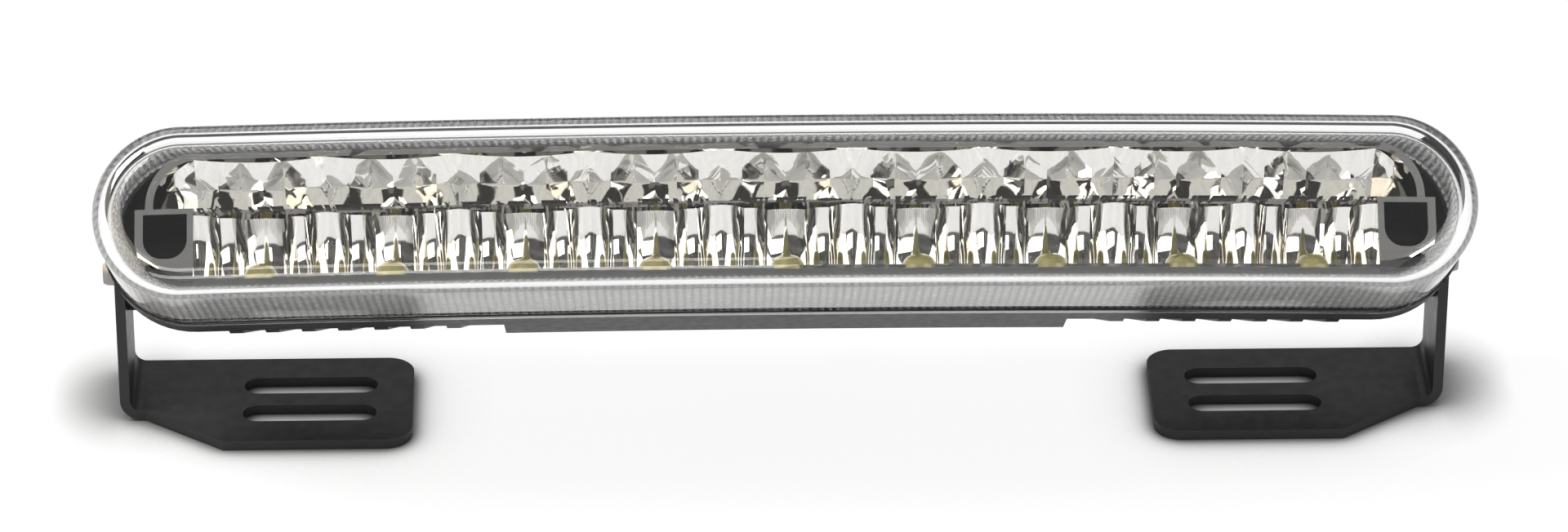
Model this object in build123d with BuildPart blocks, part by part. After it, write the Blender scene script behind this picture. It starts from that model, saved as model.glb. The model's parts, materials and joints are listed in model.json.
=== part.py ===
from build123d import *
from math import asin, atan, cos, degrees, radians, sin, sqrt, tan
import os

os.makedirs("parts", exist_ok=True)

# Stance: the bracket feet lie on z = 0 and the lamp looks towards -Y, tilted up
lamp_tilt = 43.0
pivot_height = 22.2

# Curved bar that the lens and the housing follow
lamp_length = 200.0
lamp_height = 27.0
bar_radius = 1050.0
pivot_to_rim = 23.0

# Lens
lens_depth = 18.5
lens_wall = 1.8
lens_draft = 1.5
lens_shoulder = 4.0
bead_proud = 0.3
bead_depth = 1.5
tongue_length = 1.5
tongue_wall = 0.8
groove_clearance = 0.15
seal_thickness = 0.8

# Housing
flange_depth = 4.0
housing_depth = 26.0
housing_wall = 1.8
body_step = 0.6
body_taper = 14.0
back_round = 2.5
ledge_depth = 6.5
ledge_lip = 0.85
block_length = 83.0
block_flat = 7.0
block_proud = 2.0
fins_per_side = 7
fin_block_gap = 7.5
fin_end_gap = 5.4
fin_width = 2.0
fin_flat = 3.0
fin_proud = 2.5
rib_inset = 0.3
boss_radius = 6.5
boss_reach = 10.0

# Brackets and pivot bolts
arm_inset = 2.4
sheet = 1.5
arm_width = 15.0
bend_radius = 1.8
foot_length = 43.7
foot_width = 23.8
foot_corner = 4.0
foot_slant = 11.9
slant_gap = 0.4
slot_length = 20.0
slot_width = 4.5
slot_pitch = 8.0
slot_inset = 15.4
bolt_diameter = 3.0
bolt_length = 10.0
bolt_flats = 5.5
bolt_head = 2.0
bolt_crown_slope = 20.0
bolt_crown_over = 0.5
pivot_play = 0.06
thread_play = 0.05

# Diode board
pad_thickness = 0.3
board_thickness = 0.8
board_end_gap = 1.5
board_ahead = 10.8
board_gap = 0.2
led_ahead = 9.3
led_base_diameter = 5.6
led_base = 0.5
led_dome_diameter = 5.0
led_dome = 1.9
small_screw = 2.0
small_head = 3.6
small_head_height = 1.2
head_chamfer = 0.3
recess_width = 0.5
recess_depth = 0.6
board_screw_behind = 4.2
board_screw_length = 1.3

# Reflector
cell_count = 9
facets_per_cell = 5
end_scoop = 6.95
reflector_end_gap = 7.1
reflector_front = 11.7
reflector_back = 0.4
reflector_top = 9.65
reflector_rim = 1.2
reflector_skin = 1.5
floor_thickness = 0.5
tier_level = 1.2
tier_ledge = 0.8
tier_ledge_front = 9.8
lower_focus = 6.0
upper_focus = 9.0
upper_corner = 8.0
lower_overhang = 1.5
lower_cut_along = 6.0
lower_cut_up = 3.5
pocket_length = 6.4
pocket_height = 6.6
pocket_corner = 2.8
led_hole_clearance = 0.4
post_spread = 90.4
post_diameter = 4.8
post_meet = 12.0
post_screw = 2.5
post_head = 4.4
post_head_height = 1.6
post_screw_grip = 5.0
post_screw_web = 3.0

# Driver
driver_length = 62.0
driver_height = 10.5
driver_thickness = 1.2
driver_standoff = 3.0
driver_post_spread = 54.0
driver_post_diameter = 4.6
driver_screw_grip = 2.4
coil_size = 7.6
coil_height = 4.5
coil_from_wires = 7.0
coil_corner = 1.2
coil_recess = 0.5
capacitor_diameter = 6.3
capacitor_height = 7.5
capacitor_chamfer = 0.4
capacitor_place = 15.0
chip_length = 5.0
chip_width = 4.0
chip_height = 1.6
chip_chamfer = 0.2
wire_diameter = 1.3
wire_spacing = 2.2
wire_from_screw = 5.65
wire_level = -2.5
wire_landing = 2.2
wire_bend = 3.0

# Inlet and vent in the back
inlet_place = 0.0
inlet_hole = 7.0
inlet_collar = 10.0
inlet_collar_height = 2.0
inlet_snout = 5.0
inlet_bore = 4.2
inlet_snout_taper = 8.0
vent_place = 24.0
vent_hole = 5.0
vent_cap = 8.0
vent_height = 1.4
vent_chamfer = 0.5
snap_clearance = 0.1

# Heights and angles that follow from the sizes above
rim_half = lamp_height / 2
skirt_half = rim_half - bead_proud
tongue_middle = skirt_half - lens_wall / 2
groove_depth = tongue_length + seal_thickness
groove_half_width = tongue_wall / 2 + groove_clearance
ledge_level = tongue_middle - groove_half_width - ledge_lip
body_front_half = rim_half - body_step
cavity_depth = housing_depth - housing_wall
straight_half = lamp_length / 2 - rim_half
end_angle = degrees(asin(straight_half / bar_radius))
board_bottom = -ledge_level + pad_thickness
board_top = board_bottom + board_thickness
floor_top = board_top + floor_thickness
focus_level = board_top + led_base
upper_half_length = lamp_length / 2 - reflector_end_gap
cell_pitch = 2 * (upper_half_length - end_scoop) / cell_count
cell_angle = degrees(cell_pitch / (bar_radius + reflector_front))
board_angle = degrees(asin((straight_half - board_end_gap) / bar_radius))
arm_face = lamp_length / 2 - arm_inset
pivot_back = foot_width / 2 - arm_width / 2

lamp = Plane(
    origin=(0, pivot_back, pivot_height),
    x_dir=(1, 0, 0),
    z_dir=(0, -cos(radians(lamp_tilt)), sin(radians(lamp_tilt))),
)
bar_centre = pivot_to_rim - bar_radius


def at(x, y, z):
    """Point in the lamp's own axes: x along it, y up and z forward from the pivot."""
    return lamp.from_local_coords(Vector(x, y, z))


def heading(x, y, z):
    """Direction in the lamp's own axes."""
    return at(x, y, z) - lamp.origin


def on_bar(angle, ahead):
    """Place on the curve at an angle along it, in front of the rim, as x and z."""
    reach = bar_radius + ahead
    return reach * sin(radians(angle)), bar_centre + reach * cos(radians(angle))


def cross_plane(angle):
    """Plane across the bar: its x runs forward from the rim and its y upward."""
    x, z = on_bar(angle, 0)
    turn = radians(angle)
    return Plane(
        origin=at(x, 0, z),
        x_dir=heading(sin(turn), 0, cos(turn)),
        z_dir=heading(-cos(turn), 0, sin(turn)),
    )


def deck_plane(level):
    """Level plane in the lamp, seen from below: its x runs along and its y forward."""
    return Plane(origin=at(0, level, 0), x_dir=(1, 0, 0), z_dir=heading(0, -1, 0))


bar_axis = Axis(at(0, 0, bar_centre), heading(0, 1, 0))


def run_bar(draw_half):
    """Runs a half section along the curved bar, then turns it round both ends."""
    with BuildSketch(cross_plane(-end_angle)) as whole:
        draw_half()
        mirror(about=Plane.XZ)
    revolve(whole.sketch, axis=bar_axis, revolution_arc=2 * end_angle)
    for side in (-1, 1):
        end = cross_plane(side * end_angle)
        with BuildSketch(end) as half:
            draw_half()
        revolve(half.sketch, axis=Axis(end.origin, end.x_dir), revolution_arc=-side * 180)


def outline(*points):
    with BuildLine() as path:
        Polyline(*points, close=True)
    make_face(path.edges())


def skirt_at(ahead):
    return skirt_half - ahead * tan(radians(lens_draft))


def body_at(behind):
    return body_front_half - (behind - flange_depth) * tan(radians(body_taper))


# Lens: drafted skirt with a rounded shoulder, a bead at the rim and a tongue behind it
def lens_outside():
    outline((0, 0), (lens_depth, 0), (lens_depth, skirt_at(lens_depth)), (0, skirt_half))
    corner = vertices().group_by(Axis.X)[-1].sort_by(Axis.Y)[-1]
    fillet(corner, lens_shoulder)


def lens_bead():
    outline((0, 0), (bead_depth, 0), (bead_depth, rim_half), (0, rim_half))


def lens_inside():
    front = lens_depth - lens_wall
    edge = skirt_at(front) - lens_wall
    outline((0, 0), (front, 0), (front, edge), (0, skirt_half - lens_wall))
    corner = vertices().group_by(Axis.X)[-1].sort_by(Axis.Y)[-1]
    fillet(corner, lens_shoulder - lens_wall / 2)


def lens_tongue():
    low, high = tongue_middle - tongue_wall / 2, tongue_middle + tongue_wall / 2
    outline((-tongue_length, low), (0, low), (0, high), (-tongue_length, high))


with BuildPart() as lens_hollow:
    run_bar(lens_inside)

with BuildPart() as lens:
    run_bar(lens_outside)
    run_bar(lens_bead)
    run_bar(lens_tongue)
    add(lens_hollow.part, mode=Mode.SUBTRACT)
lens.part.label = "lens"


# Seal: ring in the bottom of the housing groove
def seal_section():
    low, high = tongue_middle - tongue_wall / 2, tongue_middle + tongue_wall / 2
    outline((-groove_depth, low), (-tongue_length, low), (-tongue_length, high), (-groove_depth, high))


with BuildPart() as lens_seal:
    run_bar(seal_section)
lens_seal.part.label = "lens_seal"


# Housing: flange, tapered body, middle block, fins, end bosses and the hollow inside
def flange_section():
    outline((0, 0), (0, rim_half), (-flange_depth, rim_half), (-flange_depth, 0))


def body_section():
    outline(
        (-flange_depth, 0),
        (-flange_depth, body_front_half),
        (-housing_depth, body_at(housing_depth)),
        (-housing_depth, 0),
    )
    corner = vertices().group_by(Axis.X)[0].sort_by(Axis.Y)[-1]
    fillet(corner, back_round)


def rib_section(flat, proud):
    """Half section of a rib that starts level with the flange and tapers to the back."""
    back = housing_depth + proud
    edge = rim_half - rib_inset
    outline(
        (0, 0),
        (-flange_depth / 2, edge),
        (-flange_depth - flat, edge),
        (-back, body_at(housing_depth) + body_step),
        (-back, 0),
    )


def cavity_section():
    outline(
        (0, 0),
        (0, ledge_level),
        (-ledge_depth, ledge_level),
        (-ledge_depth, body_at(ledge_depth) - housing_wall),
        (-cavity_depth, body_at(cavity_depth) - housing_wall),
        (-cavity_depth, 0),
    )


def groove_section():
    low, high = tongue_middle - groove_half_width, tongue_middle + groove_half_width
    outline((-groove_depth, low), (0, low), (0, high), (-groove_depth, high))


block_angle = degrees(asin(block_length / 2 / bar_radius))
fin_first = block_length / 2 + fin_block_gap
fin_pitch = (straight_half - fin_end_gap - fin_first) / (fins_per_side - 1)
fin_angles = [degrees(asin((fin_first + fin_pitch * n) / bar_radius)) for n in range(fins_per_side)]
fin_angle = degrees(fin_width / bar_radius)
back_wall = pivot_to_rim - cavity_depth
driver_back = back_wall + driver_standoff
driver_front = driver_back + driver_thickness
post_plane = lamp.offset(pivot_to_rim - post_meet)
back_plane = lamp.offset(pivot_to_rim - housing_depth - 2 * block_proud)
screw_angles = [cell_angle * step for step in (-3.5, -1.5, 1.5, 3.5)]
screw_spots = [on_bar(angle, -board_screw_behind) for angle in screw_angles]
post_spots = [(-post_spread / 2, 0), (post_spread / 2, 0)]
driver_spots = [(-driver_post_spread / 2, 0), (driver_post_spread / 2, 0)]
post_head_seat = pivot_to_rim - post_meet - post_screw_web

with BuildPart() as housing_hollow:
    run_bar(cavity_section)

with BuildPart() as seal_groove:
    run_bar(groove_section)

with BuildPart() as housing:
    run_bar(flange_section)
    run_bar(body_section)
    with BuildSketch(cross_plane(-block_angle)):
        rib_section(block_flat, block_proud)
        fillet(vertices().group_by(Axis.X)[0].sort_by(Axis.Y)[-1], back_round)
        mirror(about=Plane.XZ)
    revolve(axis=bar_axis, revolution_arc=2 * block_angle)
    for angle in fin_angles + [-angle for angle in fin_angles]:
        with BuildSketch(cross_plane(angle - fin_angle / 2)):
            rib_section(fin_flat, fin_proud)
            mirror(about=Plane.XZ)
        revolve(axis=bar_axis, revolution_arc=fin_angle)
    add(housing_hollow.part, mode=Mode.SUBTRACT)
    add(seal_groove.part, mode=Mode.SUBTRACT)
    # Pivot bosses at the ends, tapped for the bolts
    for side in (-1, 1):
        boss_face = Plane(origin=at(side * arm_face, 0, 0), x_dir=heading(0, 1, 0), z_dir=(-side, 0, 0))
        with BuildSketch(boss_face):
            Circle(boss_radius)
        extrude(amount=boss_reach)
        with BuildSketch(boss_face):
            Circle(bolt_diameter / 2 + thread_play)
        extrude(amount=bolt_length - sheet, mode=Mode.SUBTRACT)
    # Screw posts for the reflector and the driver board
    with BuildSketch(post_plane):
        with Locations(*post_spots):
            Circle(post_diameter / 2)
    extrude(amount=-(cavity_depth - post_meet + housing_wall / 2))
    with BuildSketch(post_plane):
        with Locations(*post_spots):
            Circle(post_screw / 2 + thread_play)
    extrude(amount=-housing_depth, mode=Mode.SUBTRACT)
    with BuildSketch(lamp.offset(post_head_seat)):
        with Locations(*post_spots):
            Circle(post_head / 2 + thread_play)
    extrude(amount=-housing_depth, mode=Mode.SUBTRACT)
    with BuildSketch(lamp.offset(driver_back)):
        with Locations(*driver_spots):
            Circle(driver_post_diameter / 2)
    extrude(amount=-(driver_standoff + housing_wall / 2))
    with BuildSketch(lamp.offset(driver_back)):
        with Locations(*driver_spots):
            Circle(small_screw / 2 + thread_play)
    extrude(amount=-driver_screw_grip, mode=Mode.SUBTRACT)
    # Tapped holes in the ledge under the diode board
    with BuildSketch(deck_plane(-ledge_level)):
        with Locations(*screw_spots):
            Circle(small_screw / 2 + thread_play)
    extrude(amount=board_screw_length, mode=Mode.SUBTRACT)
    # Cable inlet and vent holes through the back
    with BuildSketch(back_plane):
        with Locations((inlet_place, 0)):
            Circle(inlet_hole / 2)
        with Locations((vent_place, 0)):
            Circle(vent_hole / 2)
    extrude(amount=2 * block_proud + housing_wall + driver_standoff / 2, mode=Mode.SUBTRACT)
housing.part.label = "housing"


# Diode board on its pad, with the diodes and the screws
def deck_strip(angle, rear, front):
    """Curved strip between two distances from the rim, in a deck plane."""
    with BuildLine() as path:
        CenterArc((0, bar_centre), bar_radius + front, 90 - angle, 2 * angle)
        Line(on_bar(-angle, front), on_bar(-angle, rear))
        CenterArc((0, bar_centre), bar_radius + rear, 90 - angle, 2 * angle)
        Line(on_bar(angle, rear), on_bar(angle, front))
    make_face(path.edges())


board_rear = -ledge_depth + board_gap
led_angles = [cell_angle * (n - (cell_count - 1) / 2) for n in range(cell_count)]
led_spots = [on_bar(angle, led_ahead) for angle in led_angles]

with BuildPart() as thermal_pad:
    with BuildSketch(deck_plane(board_bottom)):
        deck_strip(board_angle, board_rear, -board_gap)
        with Locations(*screw_spots):
            Circle(small_screw / 2 + thread_play, mode=Mode.SUBTRACT)
    extrude(amount=pad_thickness)
thermal_pad.part.label = "thermal_pad"

with BuildPart() as led_board:
    with BuildSketch(deck_plane(board_top)):
        deck_strip(board_angle, board_rear, board_ahead)
        with Locations(*screw_spots):
            Circle(small_screw / 2 + thread_play, mode=Mode.SUBTRACT)
    extrude(amount=board_thickness)
led_board.part.label = "led_board"

dome_radius = led_dome_diameter**2 / (8 * led_dome) + led_dome / 2
dome_start = degrees(asin(1 - led_dome / dome_radius))
with BuildPart() as diode:
    with BuildSketch(Plane.XZ):
        with BuildLine():
            CenterArc((0, led_base + led_dome - dome_radius), dome_radius, dome_start, 90 - dome_start)
            Polyline(
                (led_dome_diameter / 2, led_base),
                (led_base_diameter / 2, led_base),
                (led_base_diameter / 2, 0),
                (0, 0),
                (0, led_base + led_dome),
            )
        make_face()
    revolve(axis=Axis.Z)

diode_planes = [Plane(origin=at(x, board_top, z), z_dir=heading(0, 1, 0)) for x, z in led_spots]
with BuildPart() as leds:
    with Locations(*diode_planes):
        add(diode.part)
leds.part.label = "leds"


def pan_screws(plane, spots, shank, head, head_height, length):
    """Pan head screws that go into a plane along its normal, with a cross slot."""
    with BuildSketch(plane) as heads:
        with Locations(*spots):
            Circle(head / 2)
    extrude(heads.sketch, amount=-head_height)
    chamfer(edges().filter_by(GeomType.CIRCLE).group_by(Axis(plane.origin, plane.z_dir))[0], head_chamfer)
    with BuildSketch(plane.offset(-head_height)) as slots:
        with Locations(*spots):
            Rectangle(head / 2, recess_width)
            Rectangle(recess_width, head / 2)
    extrude(slots.sketch, amount=recess_depth, mode=Mode.SUBTRACT)
    with BuildSketch(plane) as shanks:
        with Locations(*spots):
            Circle(shank / 2)
    extrude(shanks.sketch, amount=length)


with BuildPart() as board_screws:
    length = board_thickness + pad_thickness + board_screw_length
    pan_screws(deck_plane(board_top), screw_spots, small_screw, small_head, small_head_height, length)
board_screws.part.label = "board_screws"


# Reflector cells, drawn across the bar: x forward from the rim, y up, z along the bar
def parabola_front(focus, low, high):
    """Space in front of a parabola about the diodes, between two levels."""
    def depth(level):
        return (level - focus_level) ** 2 / (4 * focus)

    middle = (low - focus_level) * (high - focus_level) / (4 * focus)
    with BuildLine() as path:
        Bezier((depth(low), low), (middle, (low + high) / 2), (depth(high), high))
        Polyline((depth(high), high), (3 * focus, high), (3 * focus, low), (depth(low), low))
    make_face(path.edges())


facet_width = cell_pitch / facets_per_cell
facet_spots = [facet_width * (n - (facets_per_cell - 1) / 2) for n in range(facets_per_cell)]
lower_vertex = led_ahead - lower_focus
upper_vertex = led_ahead - upper_focus
cell_front = reflector_front + reflector_rim
upper_reach = sqrt(4 * upper_focus * (cell_front - upper_vertex))

with BuildPart() as lower_cell:
    with BuildSketch(Plane.XY.offset(-cell_pitch / 2)):
        outline(
            (lower_vertex, floor_top),
            (cell_front, floor_top),
            (cell_front, tier_level - tier_ledge),
            (lower_vertex, tier_level - tier_ledge),
        )
    extrude(amount=cell_pitch)
    for across in facet_spots:
        turn = atan(across / (2 * lower_focus))
        touch = lower_vertex + across**2 / (4 * lower_focus)
        facing = (sin(turn), 0, cos(turn))
        facet = Plane(origin=(touch, 0, across), x_dir=(cos(turn), 0, -sin(turn)), z_dir=facing)
        with BuildSketch(facet):
            parabola_front(lower_focus, floor_top, tier_level - tier_ledge)
        extrude(amount=cell_pitch, both=True, mode=Mode.INTERSECT)

with BuildPart() as upper_cell:
    with BuildSketch(Plane.XY):
        with BuildLine():
            Bezier(
                (upper_vertex, focus_level),
                (upper_vertex, focus_level + upper_reach / 2),
                (cell_front, focus_level + upper_reach),
            )
            Polyline(
                (cell_front, focus_level + upper_reach),
                (cell_front, focus_level),
                (upper_vertex, focus_level),
            )
        make_face()
    revolve(axis=Axis((0, focus_level, 0), (1, 0, 0)))
    with BuildSketch(Plane.XY.offset(-cell_pitch / 2)):
        outline(
            (upper_vertex, tier_level),
            (cell_front, tier_level),
            (cell_front, reflector_top - reflector_rim),
            (upper_vertex, reflector_top - reflector_rim),
        )
    extrude(amount=cell_pitch, mode=Mode.INTERSECT)


def tier_window():
    """Inside of the upper tier's rim, in front view."""
    height = reflector_top - reflector_rim - tier_level
    with Locations((0, tier_level)):
        Rectangle(2 * (upper_half_length - reflector_rim), height, align=(Align.CENTER, Align.MIN))
    fillet(vertices().group_by(Axis.Y)[-1], upper_corner - reflector_rim)


end_cells = [cross_plane(side * cell_angle * (cell_count + 1) / 2) for side in (-1, 1)]
with BuildPart() as end_scoops:
    with Locations(*end_cells):
        add(upper_cell.part)
    with BuildSketch(lamp):
        tier_window()
    extrude(amount=pivot_to_rim + cell_front, mode=Mode.INTERSECT)

reflector_angle = end_angle + 1
lower_half_length = upper_half_length + lower_overhang
cell_planes = [cross_plane(angle) for angle in led_angles]
upper_slope_foot = tier_level + reflector_skin

with BuildPart() as reflector:
    with BuildSketch(cross_plane(-reflector_angle)):
        outline(
            (reflector_back, board_top),
            (reflector_front, board_top),
            (reflector_front, reflector_top),
            (reflector_front / 2, reflector_top),
            (reflector_back, upper_slope_foot),
        )
    revolve(axis=bar_axis, revolution_arc=2 * reflector_angle)
    with BuildSketch(lamp):
        outline(
            (0, board_top),
            (lower_half_length - lower_cut_along, board_top),
            (lower_half_length, board_top + lower_cut_up),
            (lower_half_length, tier_level),
            (upper_half_length, tier_level),
            (upper_half_length, reflector_top),
            (0, reflector_top),
        )
        fillet(vertices().group_by(Axis.Y)[-1].sort_by(Axis.X)[-1], upper_corner)
        mirror(about=Plane.YZ)
    extrude(amount=pivot_to_rim + cell_front, mode=Mode.INTERSECT)
    with Locations(*cell_planes):
        add(upper_cell.part, mode=Mode.SUBTRACT)
        add(lower_cell.part, mode=Mode.SUBTRACT)
    add(end_scoops.part, mode=Mode.SUBTRACT)
    # Shelf between the tiers stops behind the rim
    window_angle = cell_angle * cell_count / 2
    with BuildSketch(cross_plane(-window_angle)):
        outline(
            (tier_ledge_front, tier_level - tier_ledge),
            (cell_front, tier_level - tier_ledge),
            (cell_front, tier_level),
            (tier_ledge_front, tier_level),
        )
    revolve(axis=bar_axis, revolution_arc=2 * window_angle, mode=Mode.SUBTRACT)
    # Dark pockets at both ends of the lower tier
    with BuildSketch(lamp):
        pocket_middle = lower_half_length - reflector_rim - pocket_length / 2
        with Locations((-pocket_middle, tier_level - tier_ledge), (pocket_middle, tier_level - tier_ledge)):
            Rectangle(pocket_length, pocket_height, align=(Align.CENTER, Align.MAX))
        fillet(vertices().group_by(Axis.Y)[0], pocket_corner)
    extrude(amount=pivot_to_rim + cell_front, mode=Mode.SUBTRACT)
    # Holes over the diodes
    with BuildSketch(deck_plane(floor_top)):
        with Locations(*led_spots):
            Circle(led_base_diameter / 2 + led_hole_clearance)
    extrude(amount=floor_thickness, mode=Mode.SUBTRACT)
    # Posts that meet the housing posts
    with BuildSketch(post_plane):
        with Locations(*post_spots):
            Circle(post_diameter / 2)
    extrude(amount=post_meet + reflector_back + reflector_skin / 2)
    with BuildSketch(post_plane):
        with Locations(*post_spots):
            Circle(post_screw / 2 + thread_play)
    extrude(amount=post_screw_grip, mode=Mode.SUBTRACT)
reflector.part.label = "reflector"

with BuildPart() as reflector_screws:
    length = post_screw_web + post_screw_grip
    pan_screws(lamp.offset(post_head_seat), post_spots, post_screw, post_head, post_head_height, length)
reflector_screws.part.label = "reflector_screws"

# Driver board with its parts on the front
with BuildPart() as driver_board:
    with BuildSketch(lamp.offset(driver_back)):
        Rectangle(driver_length, driver_height)
        with Locations(*driver_spots):
            Circle(small_screw / 2 + thread_play, mode=Mode.SUBTRACT)
    extrude(amount=driver_thickness)
driver_board.part.label = "driver_board"

with BuildPart() as driver_screws:
    # These go in backwards, so the plane faces the back
    seat = Plane(origin=at(0, 0, driver_front), x_dir=(1, 0, 0), z_dir=heading(0, 0, -1))
    length = driver_thickness + driver_screw_grip
    pan_screws(seat, driver_spots, small_screw, small_head, small_head_height, length)
driver_screws.part.label = "driver_screws"

wire_place = screw_spots[1][0] + wire_from_screw
coil_place = wire_place + coil_from_wires
with BuildPart() as driver_coil:
    with BuildSketch(lamp.offset(driver_front)):
        with Locations((coil_place, 0)):
            RectangleRounded(coil_size, coil_size, coil_corner)
    extrude(amount=coil_height)
    with BuildSketch(lamp.offset(driver_front + coil_height)):
        with Locations((coil_place, 0)):
            Circle(coil_size / 3)
    extrude(amount=-coil_recess, mode=Mode.SUBTRACT)
driver_coil.part.label = "driver_coil"

with BuildPart() as driver_capacitor:
    with BuildSketch(lamp.offset(driver_front)):
        with Locations((capacitor_place, 0)):
            Circle(capacitor_diameter / 2)
    extrude(amount=capacitor_height)
    chamfer(edges().filter_by(GeomType.CIRCLE), capacitor_chamfer)
driver_capacitor.part.label = "driver_capacitor"

with BuildPart() as driver_chip:
    with BuildSketch(lamp.offset(driver_front)):
        Rectangle(chip_length, chip_width)
    extrude(amount=chip_height)
    chamfer(faces().sort_by(Axis(lamp.origin, lamp.z_dir))[-1].edges(), chip_chamfer)
driver_chip.part.label = "driver_chip"

# Two wires from the driver board, forward and down to the diode board
with BuildPart() as link_wires:
    for step in (-0.5, 0.5):
        x = wire_place + wire_spacing * step
        rim_here = bar_centre + sqrt(bar_radius**2 - x**2)
        turn_at = rim_here - wire_landing
        with BuildLine():
            FilletPolyline(
                at(x, wire_level, driver_front),
                at(x, wire_level, turn_at),
                at(x, board_top, turn_at),
                radius=wire_bend,
            )
        with BuildSketch(Plane(origin=at(x, wire_level, driver_front), z_dir=lamp.z_dir)):
            Circle(wire_diameter / 2)
        sweep()
link_wires.part.label = "link_wires"

# Grommet and vent, seated on the back of the middle block
block_radius = bar_radius - housing_depth - block_proud
block_wall = block_proud + housing_wall


def block_back(along):
    """Place of the block's back face at a distance along the bar."""
    return bar_centre + sqrt(block_radius**2 - along**2)


inlet_seat = block_back(inlet_place + inlet_collar / 2) - snap_clearance
with BuildPart() as cable_grommet:
    with BuildSketch(lamp.offset(inlet_seat)):
        with Locations((inlet_place, 0)):
            Circle(inlet_collar / 2)
    extrude(amount=-inlet_collar_height)
    with BuildSketch(lamp.offset(inlet_seat - inlet_collar_height)):
        with Locations((inlet_place, 0)):
            Circle(inlet_hole / 2)
    extrude(amount=-inlet_snout, taper=inlet_snout_taper)
    with BuildSketch(lamp.offset(inlet_seat)):
        with Locations((inlet_place, 0)):
            Circle(inlet_hole / 2 - snap_clearance)
    extrude(amount=block_wall)
    with BuildSketch(lamp.offset(inlet_seat + block_wall)):
        with Locations((inlet_place, 0)):
            Circle(inlet_bore / 2)
    extrude(amount=-(block_wall + inlet_collar_height + inlet_snout), mode=Mode.SUBTRACT)
cable_grommet.part.label = "cable_grommet"

vent_seat = block_back(vent_place + vent_cap / 2) - snap_clearance
with BuildPart() as breather_vent:
    with BuildSketch(lamp.offset(vent_seat)):
        with Locations((vent_place, 0)):
            Circle(vent_cap / 2)
    extrude(amount=-vent_height)
    chamfer(edges().filter_by(GeomType.CIRCLE).group_by(Axis(lamp.origin, lamp.z_dir))[0], vent_chamfer)
    with BuildSketch(lamp.offset(vent_seat)):
        with Locations((vent_place, 0)):
            Circle(vent_hole / 2 - snap_clearance)
    extrude(amount=block_wall)
breather_vent.part.label = "breather_vent"


# Brackets: one bent sheet each, with an arm on the pivot and a slotted foot
def bracket_solid(side):
    outer = arm_face + sheet
    inner_end = outer - foot_length
    rear = pivot_back + arm_width / 2
    front = rear - foot_width
    arm_front = pivot_back - arm_width / 2
    bend_end = arm_face - bend_radius
    with BuildSketch(Plane.XY) as foot:
        outline(
            (side * outer, rear),
            (side * outer, arm_front),
            (side * (bend_end - slant_gap), arm_front),
            (side * (bend_end - slant_gap - foot_slant), front),
            (side * inner_end, front),
            (side * inner_end, rear),
        )
        fillet(vertices().filter_by(lambda v: abs(abs(v.X) - inner_end) < sheet), foot_corner)
        with Locations((side * (inner_end + slot_inset), 0)):
            with GridLocations(0, slot_pitch, 1, 2):
                SlotOverall(slot_length, slot_width, mode=Mode.SUBTRACT)
    extrude(foot.sketch, amount=sheet)
    arm_side = Plane(origin=(side * outer, pivot_back, 0), x_dir=(0, side, 0), z_dir=(side, 0, 0))
    with BuildSketch(arm_side) as arm:
        with Locations((0, pivot_height / 2)):
            Rectangle(arm_width, pivot_height)
        with Locations((0, pivot_height)):
            Circle(arm_width / 2)
            Circle(bolt_diameter / 2 + pivot_play, mode=Mode.SUBTRACT)
    extrude(arm.sketch, amount=-sheet)
    bends = edges().filter_by(Axis.Y)
    inner_bend = bends.filter_by_position(Axis.Z, sheet, sheet).filter_by(
        lambda e: abs(abs(e.center().X) - arm_face) < sheet / 2
    )
    outer_bend = bends.filter_by_position(Axis.Z, 0, 0).filter_by(
        lambda e: abs(abs(e.center().X) - outer) < sheet / 2
    )
    fillet(inner_bend, bend_radius)
    fillet(outer_bend, bend_radius + sheet)


with BuildPart() as left_bracket:
    bracket_solid(-1)
left_bracket.part.label = "left_bracket"

with BuildPart() as right_bracket:
    bracket_solid(1)
right_bracket.part.label = "right_bracket"


# Pivot bolts: chamfered hexagon head outside the arm, shank into the boss
def pivot_bolt(side):
    seat = Plane(origin=(side * (arm_face + sheet), pivot_back, pivot_height), z_dir=(side, 0, 0))
    with BuildSketch(seat) as head:
        RegularPolygon(bolt_flats / 2, 6, major_radius=False)
    extrude(head.sketch, amount=bolt_head)
    with BuildSketch(seat) as crown:
        Circle(bolt_flats / 2 + bolt_crown_over)
    extrude(crown.sketch, amount=bolt_head, taper=bolt_crown_slope, mode=Mode.INTERSECT)
    with BuildSketch(seat) as shank:
        Circle(bolt_diameter / 2)
    extrude(shank.sketch, amount=-(bolt_length - thread_play))


with BuildPart() as left_pivot_bolt:
    pivot_bolt(-1)
left_pivot_bolt.part.label = "left_pivot_bolt"

with BuildPart() as right_pivot_bolt:
    pivot_bolt(1)
right_pivot_bolt.part.label = "right_pivot_bolt"

pieces = [
    housing,
    lens,
    lens_seal,
    reflector,
    reflector_screws,
    led_board,
    thermal_pad,
    leds,
    board_screws,
    driver_board,
    driver_screws,
    driver_coil,
    driver_capacitor,
    driver_chip,
    link_wires,
    cable_grommet,
    breather_vent,
    left_bracket,
    right_bracket,
    left_pivot_bolt,
    right_pivot_bolt,
]
for piece in pieces:
    export_step(piece.part, f"parts/{piece.part.label}.step")
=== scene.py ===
import json
from math import asin, cos, pi, radians, sin, sqrt, tan

import bmesh
import bpy
from mathutils import Matrix, Vector

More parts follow.
